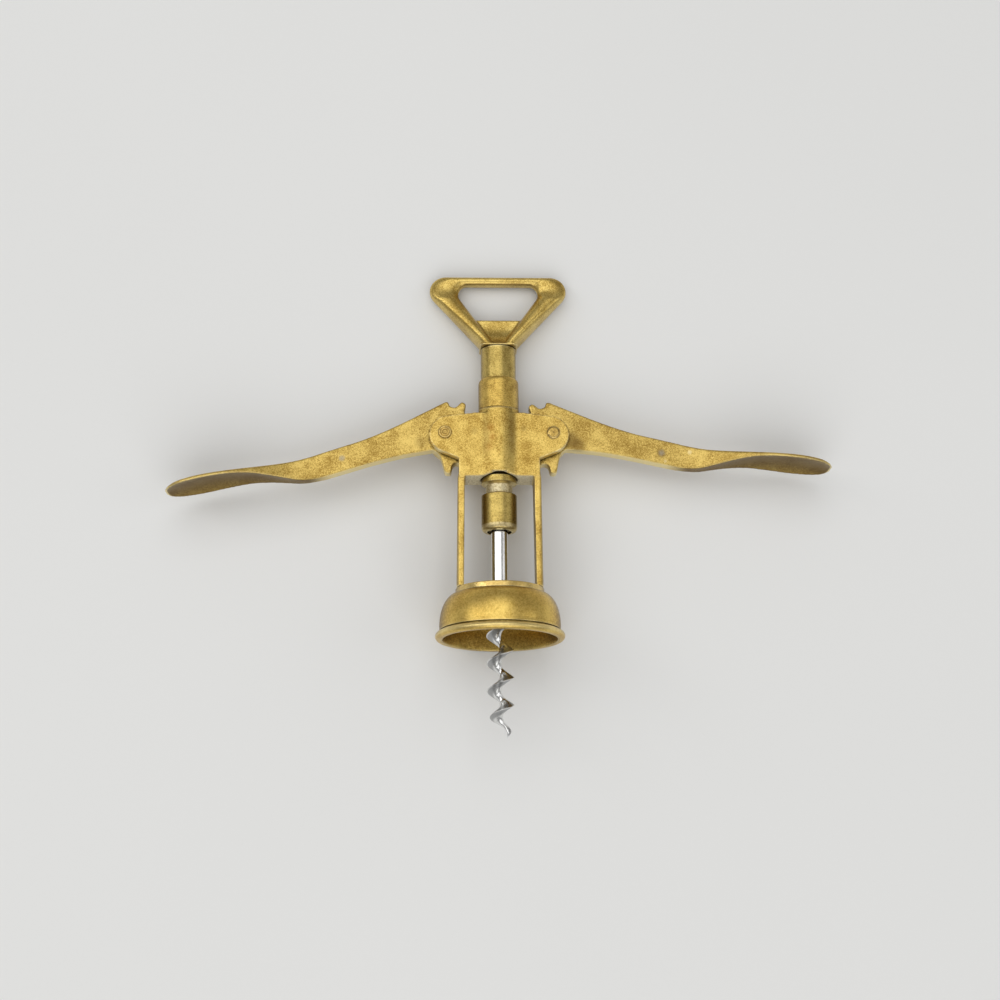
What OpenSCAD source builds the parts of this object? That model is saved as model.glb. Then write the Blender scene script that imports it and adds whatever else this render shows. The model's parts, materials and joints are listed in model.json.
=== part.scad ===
// Wing corkscrew of cast brass with a steel worm, lying on its back.
// Each piece is drawn upright: X along the levers, -Y to the front, and Z up the
// axis from the bell's mouth to the handle. lay_down() then lays it on its back,
// with the handle towards +Y and the front up, resting on bell rim and handle.

/* [Bell] */
// Diameter over the beaded rim
rim_d = 43.8; // [42:0.2:48]
// Diameter of the open mouth
mouth_d = 38.8; // [35:0.2:39.2]
// Height of the bead round the rim
bead_h = 2.6; // [2:0.1:3.4]
// Diameter of the bell's side above the bead
side_d = 41; // [39.4:0.2:41.8]
// Height of the straight side above the bead
side_h = 2.2; // [1:0.1:4]
// Height of the bell from mouth to flat top
bell_h = 15.5; // [13:0.5:19]
// Diameter of the bell's flat top
bell_top_d = 30; // [28:0.2:33]
// Wall thickness of the bell
bell_wall = 1.8; // [1.2:0.1:2.4]
// Diameter of the hole that lets the worm through
guide_d = 10.8; // [10.4:0.1:12]
// Wall thickness of the spigot that holds the foot ring
spigot_wall = 1.6; // [1:0.1:2.4]
// Height that the spigot stands above the foot ring
spigot_up = 0.4; // [0.2:0.1:1]

/* [Foot ring] */
// Diameter of the foot ring
ring_d = 30.1; // [29.9:0.1:32]
// Thickness of the foot ring
ring_h = 2; // [1.6:0.1:3]
// Diameter of the tenons under the legs
tenon_d = 1.8; // [1.2:0.1:2]

/* [Body casting] */
// Height of the lever pivots above the mouth
pivot_h = 71.5; // [70:0.5:78]
// Distance of each pivot from the axis
pivot_x = 18.7; // [18.6:0.1:19.2]
// Half the depth of the cheeks, front to back
cheek_half = 6; // [5.6:0.1:6.6]
// Radius of the round lobe over each pivot
lobe_r = 6.6; // [6:0.1:7.2]
// Diameter of the boss round the rack
boss_d = 15; // [14.8:0.1:16]
// Height of the boss above the pivots
boss_up = 9.2; // [8:0.1:10]
// Height of the cheeks' top edge at the boss
shoulder_up = 7.3; // [6.6:0.1:7.8]
// Depth of the body's foot below the pivots
body_down = 15.6; // [15:0.1:17]
// Rise of the arch in the body's foot
arch_rise = 1.5; // [0.5:0.1:2.2]
// Half the width of the body's foot
foot_half = 14; // [13.6:0.1:14.4]
// Radius of the hollow between the boss and the cheeks
boss_fillet = 3; // [1.5:0.5:4]
// Width of the slots for the levers
slot_w = 5.2; // [5:0.1:5.8]

/* [Legs] */
// Outer half spread of the legs at the body
leg_top_x = 14.3; // [14:0.1:14.6]
// Outer half spread of the legs at the foot ring
leg_foot_x = 14.65; // [14.4:0.05:14.9]
// Thickness of each leg
leg_t = 2.45; // [2.2:0.05:2.9]
// Half the depth of each leg, front to back
leg_half = 5.5; // [4.5:0.1:6]

/* [Guide collar] */
// Outer diameter of the guide collar
collar_d = 14; // [13.8:0.1:14.6]
// Height of the collar above the boss
collar_h = 11.25; // [9:0.25:12]
// Depth of the collar's seat in the boss
collar_seat = 1.5; // [1:0.1:1.8]
// Wall thickness of the collar where it enters the boss
seat_wall = 0.6; // [0.4:0.05:0.7]

/* [Rack sleeve] */
// Outer diameter of the rack sleeve
rack_d = 12.2; // [12:0.1:12.4]
// Distance from one ring groove to the next
groove_pitch = 6.4; // [6.3:0.05:6.5]
// Depth of the ring grooves
groove_depth = 1.5; // [1.4:0.05:1.7]
// Half the width of a groove at the surface
groove_half = 2.1; // [1.9:0.05:2.2]
// Length of the plain lower end below the last groove
plain_end = 14.8; // [12:0.2:16]
// Length of bare neck between collar and handle at rest
neck_l = 11.75; // [10:0.25:13]
// Depth of the recess in the lower end
recess_h = 2.2; // [1.8:0.1:4]
// Diameter of the recess in the lower end
recess_d = 8.4; // [8:0.1:9]

/* [Levers] */
// Thickness of a lever's plate
lever_t = 4.6; // [4:0.1:4.8]
// Length of a lever from its pivot to its tip
lever_l = 97.4; // [85:0.2:105]
// Radius over the teeth
tooth_tip_r = 13.6; // [13.4:0.05:13.7]
// Radius at the foot of the teeth
tooth_root_r = 10.6; // [10:0.1:11]
// Half the angle that a tooth spans, halfway down its flank
tooth_half = 6.2; // [5.4:0.1:6.4]
// Half the width of the paddle
paddle_half = 9.8; // [8:0.1:11]
// Rise of the paddle's back above its edges
paddle_crown = 1.9; // [0.5:0.1:2.6]
// Droop of the left lever at rest, in degrees
left_droop = 11.2; // [9:0.1:11.4]
// Droop of the right lever at rest, in degrees
right_droop = 5.9; // [5.8:0.1:8]
// Diameter of the pivot pins
pin_d = 3.8; // [3:0.1:4.2]
// Diameter of the pins' heads
pin_head_d = 4.3; // [4.2:0.1:5.2]
// Height of the pins' heads
pin_head_h = 0.45; // [0.2:0.05:0.8]

/* [Handle] */
// Height of the handle above its base
handle_h = 27.2; // [24:0.2:30]
// Half the width of the handle
handle_half = 24.2; // [21:0.2:27]
// Outer radius of the handle's corners
corner_r = 5.3; // [4.6:0.1:6]
// Thickness of the top bar, along the axis
bar_t = 3.2; // [2.6:0.1:4]
// Half the depth of the top bar, front to back
bar_half = 3.3; // [2.6:0.1:4]
// Half the depth of the side bars at the base
root_half = 4.4; // [3.6:0.1:5]
// Half the width of the opening at its top corners
opening_half = 14; // [12.5:0.1:15]
// Radius of the opening's top corners
opening_r = 2.7; // [1.6:0.1:3.2]
// Height of the lip's edge above the handle's base
lip_h = 10.4; // [8:0.2:13]
// Thickness of the lip
lip_t = 2.4; // [1.6:0.1:3.6]
// Diameter of the hub under the handle
hub_d = 12.6; // [12.4:0.1:13.4]
// Diameter of the stem inside the sleeve
stem_d = 7.8; // [7.4:0.1:8]
// Length of the stem inside the sleeve
stem_l = 9; // [7:0.5:12]
// Diameter of the cross pin in the stem
cross_pin_d = 2; // [1.4:0.1:2.4]

/* [Worm] */
// Diameter of the steel shank
shank_d = 5.8; // [5.2:0.1:6]
// Diameter over the worm's blade
worm_d = 9.3; // [8:0.1:9.6]
// Diameter of the worm's core
core_d = 2.2; // [1.8:0.1:3]
// Rise of the worm in one turn
worm_pitch = 9.3; // [8.5:0.1:10.5]
// Distance that the point stands out of the bell
worm_out = 32.7; // [28:0.1:36]
// Offset of the point from the axis
point_offset = 2.3; // [0:0.1:3]
// Diameter of the washer on the shank
washer_d = 8; // [7.6:0.1:8.2]
// Thickness of the washer on the shank
washer_h = 1.4; // [1:0.1:1.6]

/* [Fits] */
// Radial gap of a sliding or turning fit
run_gap = 0.06; // [0.03:0.01:0.09]
// Radial gap of a fixed fit
seat_gap = 0.02; // [0.01:0.01:0.03]
// End play between faces that turn on each other
end_gap = 0.12; // [0.08:0.01:0.3]

/* [Hidden] */
$fn = 64;
overcut = 1; // how far a cut runs past the face it opens
old_brass = [0.66, 0.50, 0.20];
bright_brass = [0.78, 0.62, 0.28];
dark_brass = [0.50, 0.37, 0.14];
steel = [0.80, 0.81, 0.83];

// Bell
bead_r = bead_h / 2;
rim_r = rim_d / 2;
mouth_r = mouth_d / 2;
side_r = side_d / 2;
bell_top_r = bell_top_d / 2;
guide_r = guide_d / 2;
spigot_r = guide_r + spigot_wall;
dome_low = bead_h + side_h;
ring_top = bell_h + ring_h;

// Rack, collar and handle along the axis
rack_r = rack_d / 2;
teeth = 6; // the lever's outline is drawn for this count
low_teeth = 3; // teeth below the one that points straight at the rack
last_groove = -low_teeth * groove_pitch;
collar_low = pivot_h + boss_up;
collar_top = collar_low + collar_h;
handle_base = collar_top + neck_l;
sleeve_low = pivot_h + last_groove - plain_end;
sleeve_top = handle_base - end_gap;
shank_r = shank_d / 2;
stem_r = stem_d / 2;
shank_into_hub = 1.5;
shank_top = handle_base + shank_into_hub;

// Levers
tooth_pitch_r = pivot_x - rack_r; // the teeth roll on the rack's outside
tooth_step = groove_pitch / tooth_pitch_r * 180 / PI;
level_tooth = -(left_droop + right_droop) / 2; // angle of the tooth that points at the rack
top_tooth = level_tooth + (teeth - 1 - low_teeth) * tooth_step;
last_tooth = level_tooth - low_teeth * tooth_step;
lever_half = lever_t / 2;
slot_r = tooth_tip_r + 1; // room round the teeth
pin_r = pin_d / 2;

// Resting place: the floor touches the rim's bead and the back of the top bar
bar_up = handle_base + handle_h - bar_t / 2;
rest_drop = rim_r - bead_r - bar_half;
rest_run = bar_up - bead_r;
lean = atan2(rest_drop, rest_run) + asin(bead_r / norm([rest_drop, rest_run]));
axis_up = (rim_r - bead_r) * cos(lean) + bead_r * sin(lean) + bead_r;
bar_reach = norm([bar_t / 2 * cos(lean), bar_half * sin(lean)]);
middle_y = ((bar_up - worm_out) * cos(lean) + bar_reach) / 2;
tip_angle = 0.7; // the tip lies this far below the lever's own line
middle_x = lever_l * (cos(right_droop + tip_angle) - cos(left_droop + tip_angle)) / 2;

// ---- helpers ----

function arc(centre, rx, ry, from, to, steps) =
    [for (i = [0:steps]) let (a = from + (to - from) * i / steps)
        centre + [rx * cos(a), ry * sin(a)]];

function mirrored(points) = [for (i = [len(points) - 1:-1:0]) [-points[i][0], points[i][1]]];

function smooth(t) = let (c = max(0, min(1, t))) c * c * (3 - 2 * c);

function mix(a, b, t) = a * (1 - t) + b * t;

// Angle at which a line from a point touches a circle, on its lower right side
function touch_angle(point, centre, r) =
    let (d = point - centre) atan2(d[1], d[0]) + acos(r / norm(d));

// Value of column c at u along a table of stations, by a smooth curve through them
function station_index(table, u, i = 0) =
    i >= len(table) - 2 || u < table[i + 1][0] ? i : station_index(table, u, i + 1);

function slope(table, i, c) =
    let (a = table[max(i - 1, 0)], b = table[min(i + 1, len(table) - 1)])
    (b[c] - a[c]) / (b[0] - a[0]);

function along(table, u, c) =
    let (
        i = station_index(table, u),
        p = table[i],
        q = table[i + 1],
        w = q[0] - p[0],
        t = max(0, min(1, (u - p[0]) / w)),
        m0 = slope(table, i, c) * w,
        m1 = slope(table, i + 1, c) * w
    )
    (2 * t * t * t - 3 * t * t + 1) * p[c] + (t * t * t - 2 * t * t + t) * m0
        + (-2 * t * t * t + 3 * t * t) * q[c] + (t * t * t - t * t) * m1;

// Skin over rings of points that all have the same count
module skin(rings, closed = false) {
    n = len(rings[0]);
    m = len(rings);
    last = closed ? m - 1 : m - 2;
    sides = [for (i = [0:last], j = [0:n - 1], half = [0, 1])
        let (
            k = (i + 1) % m,
            l = (j + 1) % n,
            a = i * n + j,
            b = i * n + l,
            c = k * n + l,
            d = k * n + j
        )
        half == 0 ? [a, b, c] : [a, c, d]];
    caps = closed ? [] : [
        [for (j = [n - 1:-1:0]) j],
        [for (j = [0:n - 1]) (m - 1) * n + j]];
    polyhedron(points = [for (ring = rings, p = ring) p], faces = concat(sides, caps));
}

// Stands a piece that is drawn upright where it lies, leaning from rim to handle
module lay_down() {
    translate([-middle_x, -middle_y, axis_up]) rotate([-90 - lean, 0, 0]) children();
}

module across(h) {
    rotate([90, 0, 0]) linear_extrude(height = h, center = true) children();
}

module cross_hole(r, h) {
    rotate([90, 0, 0]) cylinder(r = r, h = h, center = true);
}

// ---- bell and foot ring ----

module bell() {
    inner_top = bell_h - bell_wall;
    line_in = 0.25; // the turned line above the bead, deep and wide
    line_w = 0.5;
    outer = concat(
        [[mouth_r, 0]],
        arc([rim_r - bead_r, bead_r], bead_r, bead_r, -90, 80, 10),
        [[side_r - line_in, bead_h + 0.2 * line_w], [side_r, bead_h + line_w]],
        arc([bell_top_r, dome_low], side_r - bell_top_r, bell_h - dome_low, 0, 90, 12));
    spigot = [
        [spigot_r, bell_h],
        [spigot_r, ring_top + spigot_up],
        [guide_r, ring_top + spigot_up],
        [guide_r, inner_top]];
    inner = arc([bell_top_r - bell_wall, dome_low], side_r - bell_top_r, inner_top - dome_low, 90, 0, 10);
    color(old_brass) lay_down()
        rotate_extrude($fn = 96) polygon(concat(outer, spigot, inner));
}

module tenons(r, low, high) {
    for (side = [-1, 1]) translate([side * (leg_foot_x - leg_t / 2), 0, low])
        cylinder(r = r, h = high - low, $fn = 32);
}

module foot_ring() {
    edge = 0.3;
    r = ring_d / 2;
    bore = spigot_r + seat_gap;
    color(bright_brass) lay_down() difference() {
        rotate_extrude($fn = 96) polygon([
            [bore, bell_h],
            [r, bell_h],
            [r, ring_top - edge],
            [r - edge, ring_top],
            [bore, ring_top]]);
        tenons(tenon_d / 2 + seat_gap, bell_h - overcut, ring_top + overcut);
    }
}

// ---- body casting ----

lobe_centre = [pivot_x - 1.25, -0.55];
armpit = [foot_half - 0.15, -9.2]; // where a lobe's lower edge meets the body's side

function body_side() =
    let (
        c = lobe_centre,
        top = [boss_d / 2, shoulder_up],
        from = touch_angle(armpit, c, lobe_r),
        to = 2 * atan2(top[1] - c[1], top[0] - c[0]) - touch_angle(top, c, lobe_r)
    )
    concat([armpit], arc(c, lobe_r, lobe_r, from, to, 18), [top]);

function body_foot() =
    [for (i = [-8:8]) let (t = i / 8)
        [t * boss_d / 2, -body_down + arch_rise * (1 + cos(180 * t)) / 2]];

module body_outline() {
    right = body_side();
    polygon(concat(
        body_foot(),
        [[foot_half, -body_down]],
        right,
        mirrored(right),
        [[-foot_half, -body_down]]));
}

// Fills the corners between boss and cheeks with a hollow curve that touches both
module boss_fillets() {
    reach = boss_d / 2 + boss_fillet;
    c = [sqrt(pow(reach, 2) - pow(cheek_half + boss_fillet, 2)), cheek_half + boss_fillet];
    touch = c * boss_d / 2 / reach;
    from = atan2(-c[1], -c[0]) + 360;
    corner = concat([[touch[0], 0]], arc(c, boss_fillet, boss_fillet, from, 270, 6), [[c[0], 0]]);
    intersection() {
        across(boss_d) body_outline();
        for (side = [-1, 1], end = [-1, 1])
            scale([side, end, 1]) translate([0, 0, -body_down])
                linear_extrude(height = body_down + boss_up) polygon(corner);
    }
}

module legs() {
    top = -body_down + overcut;
    foot = ring_top - pivot_h;
    right = [
        [leg_foot_x - leg_t, foot],
        [leg_foot_x, foot],
        [leg_top_x, -body_down],
        [foot_half, top],
        [leg_top_x - leg_t, top]];
    intersection() {
        union() {
            across(2 * leg_half) polygon(right);
            across(2 * leg_half) polygon(mirrored(right));
        }
        translate([0, 0, foot - overcut]) cylinder(d = ring_d, h = pivot_h, $fn = 96);
    }
}

module body_casting() {
    boss_low = -body_down + arch_rise;
    color(old_brass) lay_down() difference() {
        union() {
            translate([0, 0, pivot_h]) {
                across(2 * cheek_half) body_outline();
                boss_fillets();
                legs();
                translate([0, 0, boss_low]) cylinder(d = boss_d, h = boss_up - boss_low);
            }
            tenons(tenon_d / 2, bell_h, ring_top + overcut);
        }
        translate([0, 0, pivot_h - body_down - overcut])
            cylinder(r = rack_r + run_gap, h = body_down + boss_up + 2 * overcut);
        translate([0, 0, collar_low - collar_seat])
            cylinder(r = rack_r + seat_wall + seat_gap, h = collar_seat + overcut);
        for (side = [-1, 1]) translate([side * pivot_x, 0, pivot_h]) {
            cross_hole(slot_r, slot_w);
            cross_hole(pin_r + seat_gap, 2 * cheek_half + overcut, $fn = 48);
        }
    }
}

module guide_collar() {
    r = collar_d / 2;
    bore = rack_r + run_gap;
    seat_r = rack_r + seat_wall;
    edge = 0.2;
    round_w = 0.7; // the shoulder's rounding, across and along the axis
    round_h = 1.6;
    color(old_brass) lay_down() rotate_extrude() polygon(concat(
        [
            [bore, collar_low - collar_seat],
            [seat_r, collar_low - collar_seat],
            [seat_r, collar_low],
            [r - edge, collar_low],
            [r, collar_low + edge]],
        arc([r - round_w, collar_top - round_h], round_w, round_h, 0, 90, 8),
        [[bore, collar_top]]));
}

// ---- levers and their pins ----

// Along a lever: place, top edge, lower edge, half width, rise of the crown
tip_station = 97; // the last place in the table
head_start = 5; // where the lever's outline leaves its head
lever_stations = [
    [head_start, 9.7, -4.4, lever_half, 0],
    [16, 6.5, -4.3, lever_half, 0],
    [27, 3.95, -5, lever_half, 0],
    [37.5, 2.5, -6.15, lever_half, 0],
    [45, 1.5, -6.85, lever_half, 0],
    [51, 0.75, -6.5, lever_half + 0.05 * paddle_half, 0.05 * paddle_crown],
    [56, 0.4, -5.1, 0.37 * paddle_half, 0.16 * paddle_crown],
    [62, 0.15, -3.3, 0.54 * paddle_half, 0.37 * paddle_crown],
    [68.5, -0.05, -1.85, 0.75 * paddle_half, 0.63 * paddle_crown],
    [76, -0.15, -1.3, 0.93 * paddle_half, 0.9 * paddle_crown],
    [85, -0.25, -1.35, paddle_half, paddle_crown],
    [92, -0.5, -1.55, 0.85 * paddle_half, 0.74 * paddle_crown],
    [95.5, -0.85, -1.7, 0.55 * paddle_half, 0.37 * paddle_crown],
    [tip_station, -1.1, -1.45, 0.22 * paddle_half, 0.1 * paddle_crown]];
head_end = 20; // the head keeps its shape up to here, and the rest stretches
plate_end = 44; // the flat plate ends here, and the paddle begins
paddle_start = plate_end - 1.5;

// Where a place in the table lies on a lever of this length
function place(u) =
    u < head_end ? u : head_end + (u - head_end) * (lever_l - head_end) / (tip_station - head_end);

function tooth_r(off) =
    tooth_root_r + (tooth_tip_r - tooth_root_r) / (1 + pow(abs(off) / tooth_half, 5));

// A point at an angle above the line from the pivot to the axis
function inward(angle, r) = [-r * cos(angle), r * sin(angle)];

// Corners of the head: angle beyond the top or last tooth, and depth below the tooth tips
top_corner = [[30.7, 1.63], [26.7, 1.3], [23.8, 1.5], [22.2, 2.03], [20.7, 2.77]];
heel = [[5.4, 0.55], [8.4, 2.66], [12.5, 4.54], [18.7, 6.01], [28.4, 6.94]];

// The teeth, from the middle of the gap above the top one to the tip of the last one
function toothed_edge() =
    let (
        count = teeth * 16,
        from = top_tooth + tooth_step / 2,
        to = last_tooth - tooth_half / 2
    )
    [for (i = [0:count])
        let (a = mix(from, to, i / count), near = round((a - top_tooth) / tooth_step))
        inward(a, tooth_r(a - top_tooth - near * tooth_step))];

module toothed_head() {
    steps = 12;
    function edge_point(i, side) =
        let (u = mix(head_start, plate_end, i / steps)) [place(u), along(lever_stations, u, side)];
    across(lever_t) polygon(concat(
        [for (i = [steps:-1:0]) edge_point(i, 1)],
        [for (c = top_corner) inward(top_tooth + c[0], tooth_tip_r - c[1])],
        toothed_edge(),
        [for (c = heel) inward(last_tooth - c[0], tooth_tip_r - c[1])],
        [for (i = [0:steps]) edge_point(i, 2)]));
}

function paddle_ring(u) =
    let (
        top = along(lever_stations, u, 1),
        low = along(lever_stations, u, 2),
        w = along(lever_stations, u, 3),
        crown = along(lever_stations, u, 4),
        c = min(0.45, (top - low) * 0.35), // the edges' chamfer
        across_w = [-(w - c), -0.6 * w, -0.2 * w, 0.2 * w, 0.6 * w, w - c],
        rise = [for (y = across_w) crown * (1 - y * y / w / w)],
        x = place(u)
    )
    concat(
        [for (i = [0:5]) [x, across_w[i], top + rise[i]]],
        [[x, w, top - c], [x, w, low + c]],
        [for (i = [5:-1:0]) [x, across_w[i], low + 0.9 * rise[i]]],
        [[x, -w, low + c], [x, -w, top - c]]);

module lever(droop) {
    near_tip = tip_station - 3;
    stations = [
        paddle_start,
        for (i = [0:26]) mix(plate_end, near_tip, i / 26),
        for (i = [0.33, 0.6, 0.8, 1]) mix(near_tip, tip_station, i)];
    translate([pivot_x, 0, pivot_h]) rotate([0, droop, 0]) difference() {
        union() {
            toothed_head();
            skin([for (u = stations) paddle_ring(u)]);
        }
        cross_hole(pin_r + run_gap, lever_t + overcut, $fn = 48);
    }
}

module left_lever() {
    color(old_brass) lay_down() mirror([1, 0, 0]) lever(left_droop);
}

module right_lever() {
    color(old_brass) lay_down() lever(right_droop);
}

module pivot_pin(side) {
    head_r = pin_head_d / 2;
    face = cheek_half;
    half = [
        [pin_r, 0],
        [pin_r, face],
        [head_r, face],
        [head_r - 0.1, face + 0.6 * pin_head_h],
        [0.6 * head_r, face + pin_head_h],
        [0.5 * head_r, face + 0.8 * pin_head_h],
        [0.4 * head_r, face + pin_head_h],
        [0, face + pin_head_h]];
    other = [for (i = [len(half) - 1:-1:1]) [half[i][0], -half[i][1]]];
    color(dark_brass) lay_down() translate([side * pivot_x, 0, pivot_h]) rotate([90, 0, 0])
        rotate_extrude($fn = 48) polygon(concat(half, other));
}

module left_pivot_pin() {
    pivot_pin(-1);
}

module right_pivot_pin() {
    pivot_pin(1);
}

// ---- rack sleeve ----

// One ring groove, from its lower edge to its upper edge
function groove(middle) =
    let (
        edge = 0.15, // broken edge at the surface
        foot = 0.2, // rounding at the groove's floor
        floor_r = rack_r - groove_depth,
        floor_half = groove_half - 0.6
    )
    [
        [rack_r, middle - groove_half - edge],
        [rack_r - edge, middle - groove_half],
        [floor_r + foot, middle - floor_half],
        [floor_r, middle - floor_half + 1.5 * foot],
        [floor_r, middle + floor_half - 1.5 * foot],
        [floor_r + foot, middle + floor_half],
        [rack_r - edge, middle + groove_half],
        [rack_r, middle + groove_half + edge]];

module rack_sleeve() {
    bore = shank_r + run_gap;
    socket_r = stem_r + run_gap;
    socket_low = handle_base - stem_l - end_gap;
    end_round = 1.1;
    top_edge = 0.2;
    outside = concat(
        [[recess_d / 2, sleeve_low]],
        arc([rack_r - end_round, sleeve_low + 1.3 * end_round], end_round, 1.3 * end_round, -80, 0, 6),
        [for (i = [0:teeth - 1], p = groove(pivot_h + (i - low_teeth) * groove_pitch)) p],
        [[rack_r, sleeve_top - top_edge], [rack_r - top_edge, sleeve_top]]);
    inside = [
        [socket_r, sleeve_top],
        [socket_r, socket_low],
        [bore, socket_low],
        [bore, sleeve_low + recess_h],
        [recess_d / 2, sleeve_low + recess_h]];
    color(bright_brass) lay_down() rotate_extrude($fn = 96) polygon(concat(outside, inside));
}

// ---- handle ----

plinth_h = 1.6; // height of the hub's straight foot
shoulder_h = 1.4; // height of the hub's slanted shoulder
fork = 1.5; // half the gap between the bars where they meet the hub

// Outer and inner line of the right half of the stirrup, from the top's middle down
function stirrup_line(half_w, top, r, foot, across_steps) =
    let (
        c = [half_w - r, top - r],
        turn = touch_angle(foot, c, r),
        last = c + [r * cos(turn), r * sin(turn)]
    )
    concat(
        [for (i = [0:across_steps - 1]) [c[0] * i / across_steps, top]],
        arc(c, r, r, 90, turn, 8),
        [for (i = [1:7]) mix(last, foot, i / 7)]);

module stirrup() {
    outer = stirrup_line(handle_half, handle_h, corner_r, [hub_d / 2 - 0.1, 0.25 * plinth_h], 5);
    inner = stirrup_line(opening_half, handle_h - bar_t, opening_r, [fork, plinth_h], 5);
    n = len(outer);
    sides = 14;
    function depth(i) = mix(bar_half, root_half, smooth((i - 9) / (n - 10)));
    function ring(side, i) =
        let (mid = (outer[i] + inner[i]) / 2, half = (outer[i] - inner[i]) / 2, d = depth(i))
        [for (j = [0:sides - 1]) let (a = 360 * j / sides)
            [side * (mid[0] + half[0] * cos(a)), d * sin(a), mid[1] + half[1] * cos(a)]];
    skin(
        concat(
            [for (i = [0:n - 1]) ring(1, i)],
            [for (i = [n - 1:-1:1]) ring(-1, i)]),
        closed = true);
}

module handle() {
    lip_foot = plinth_h / 2;
    lip = [
        [fork, lip_foot],
        [opening_half, lip_h * 1.75],
        [-opening_half, lip_h * 1.75],
        [-fork, lip_foot]];
    color(old_brass) lay_down() translate([0, 0, handle_base]) difference() {
        union() {
            stirrup();
            cylinder(d = hub_d, h = plinth_h);
            translate([0, 0, plinth_h]) cylinder(d1 = hub_d, d2 = 0.76 * hub_d, h = shoulder_h);
            across(lip_t) intersection() {
                polygon(lip);
                translate([-handle_half, 0]) square([2 * handle_half, lip_h]);
            }
            translate([0, 0, -stem_l]) cylinder(d = stem_d, h = stem_l + overcut);
        }
        translate([0, 0, -stem_l - overcut])
            cylinder(r = shank_r + seat_gap, h = shank_into_hub + end_gap + stem_l + overcut);
        translate([0, 0, -stem_l / 2]) cross_hole(cross_pin_d / 2 + seat_gap, stem_d + overcut, $fn = 32);
    }
}

module handle_pin() {
    color(steel) lay_down() translate([0, 0, handle_base - stem_l / 2])
        cross_hole(cross_pin_d / 2, stem_d - 0.6, $fn = 32);
}

// ---- worm ----

blade_top = 12; // where the shank begins to turn into the blade
blade_full = 3; // where the blade has its full width
right_edge = -3.1; // a height at which the blade's edge points along +X
point_l = 9; // length over which the worm runs out to its point
blade_half = 100; // half the angle that the blade's foot spans
blade_sides = 14;

function blade_r(off) =
    let (t = 1 - min(1, abs(off) / blade_half))
    core_d / 2 + (worm_d / 2 - core_d / 2) * pow(t, 1.15);

function worm_ring(h) =
    let (
        turn = 360 * (h - right_edge) / worm_pitch,
        round_part = smooth((h - blade_full) / (blade_top - blade_full)),
        run_out = max(0, min(1, (point_l - worm_out - h) / point_l)),
        size = max(0.04, 1 - pow(run_out, 1.6)),
        shift = point_offset * smooth(run_out)
    )
    [for (j = [0:blade_sides - 1])
        let (
            off = -180 + 360 * j / blade_sides,
            r = size * mix(blade_r(off), shank_r - 0.02, round_part),
            a = turn + off
        )
        [shift + r * cos(a), r * sin(a), h]];

module worm() {
    count = 115;
    low = -worm_out;
    high = blade_top + 1;
    color(steel) lay_down() {
        difference() {
            union() {
                translate([0, 0, blade_top]) cylinder(d = shank_d, h = shank_top - blade_top, $fn = 48);
                skin([for (i = [0:count]) worm_ring(mix(high, low, i / count))]);
            }
            translate([0, 0, handle_base - stem_l / 2])
                cross_hole(cross_pin_d / 2 + seat_gap, shank_d + overcut, $fn = 32);
        }
    }
}

module shank_washer() {
    washer_top = sleeve_low + recess_h - end_gap;
    color(dark_brass) lay_down() difference() {
        translate([0, 0, washer_top - washer_h]) cylinder(d = washer_d, h = washer_h);
        translate([0, 0, washer_top - washer_h - overcut])
            cylinder(r = shank_r + seat_gap, h = washer_h + 2 * overcut);
    }
}

bell();
foot_ring();
body_casting();
guide_collar();
left_pivot_pin();
right_pivot_pin();
left_lever();
right_lever();
rack_sleeve();
handle();
worm();
shank_washer();
handle_pin();
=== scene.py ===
import json
import math

import bmesh
import bpy
import numpy as np
from mathutils import Matrix, Vector


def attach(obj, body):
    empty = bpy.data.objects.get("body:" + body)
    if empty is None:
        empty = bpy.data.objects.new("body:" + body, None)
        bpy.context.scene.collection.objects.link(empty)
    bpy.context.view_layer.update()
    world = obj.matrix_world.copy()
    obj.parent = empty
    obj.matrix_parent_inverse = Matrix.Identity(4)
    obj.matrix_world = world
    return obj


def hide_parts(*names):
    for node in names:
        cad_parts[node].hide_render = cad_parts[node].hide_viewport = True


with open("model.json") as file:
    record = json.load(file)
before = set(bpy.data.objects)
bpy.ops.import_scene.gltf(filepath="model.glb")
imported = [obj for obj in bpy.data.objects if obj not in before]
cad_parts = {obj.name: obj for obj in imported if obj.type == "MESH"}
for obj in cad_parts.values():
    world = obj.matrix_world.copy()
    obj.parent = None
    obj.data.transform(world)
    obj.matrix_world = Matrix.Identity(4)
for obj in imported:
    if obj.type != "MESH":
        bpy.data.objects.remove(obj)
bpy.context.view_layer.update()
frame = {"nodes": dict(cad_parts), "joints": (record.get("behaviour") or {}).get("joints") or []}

print("frame loaded:", sorted(frame["nodes"]))

# The corkscrew's own directions, from its joints: x across, h up the axis from
# the bell's mouth, z to the front. Pieces are drawn in these, in millimetres.
joints = {joint["name"]: joint for joint in frame["joints"]}
pivotHeight = 71.5
pivotApart = 18.7
alongAxis = Vector(joints["rack_slide"]["axis"]).normalized()
across = Vector((1, 0, 0))
front = across.cross(alongAxis)
leftPivot = Vector(joints["left_lever_swing"]["pos_m"])
rightPivot = Vector(joints["right_lever_swing"]["pos_m"])
mouth = (leftPivot + rightPivot) / 2 - alongAxis * pivotHeight / 1000
turned = Matrix((across, alongAxis, front)).transposed()
lay = Matrix.Translation(mouth) @ turned.to_4x4() @ Matrix.Scale(0.001, 4)
lean = math.atan2(-alongAxis.z, alongAxis.y)


# The camera, fitted to the photograph.

cameraLook = {
    "place": (-0.020364, -0.073661, 0.593847),
    "forward": (0.03363, 0.12587, -0.99148),
    "right": (0.99943, -0.00191, 0.03366),
    "lens": 61.2,
    "shift": 0.0008,
}


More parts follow.
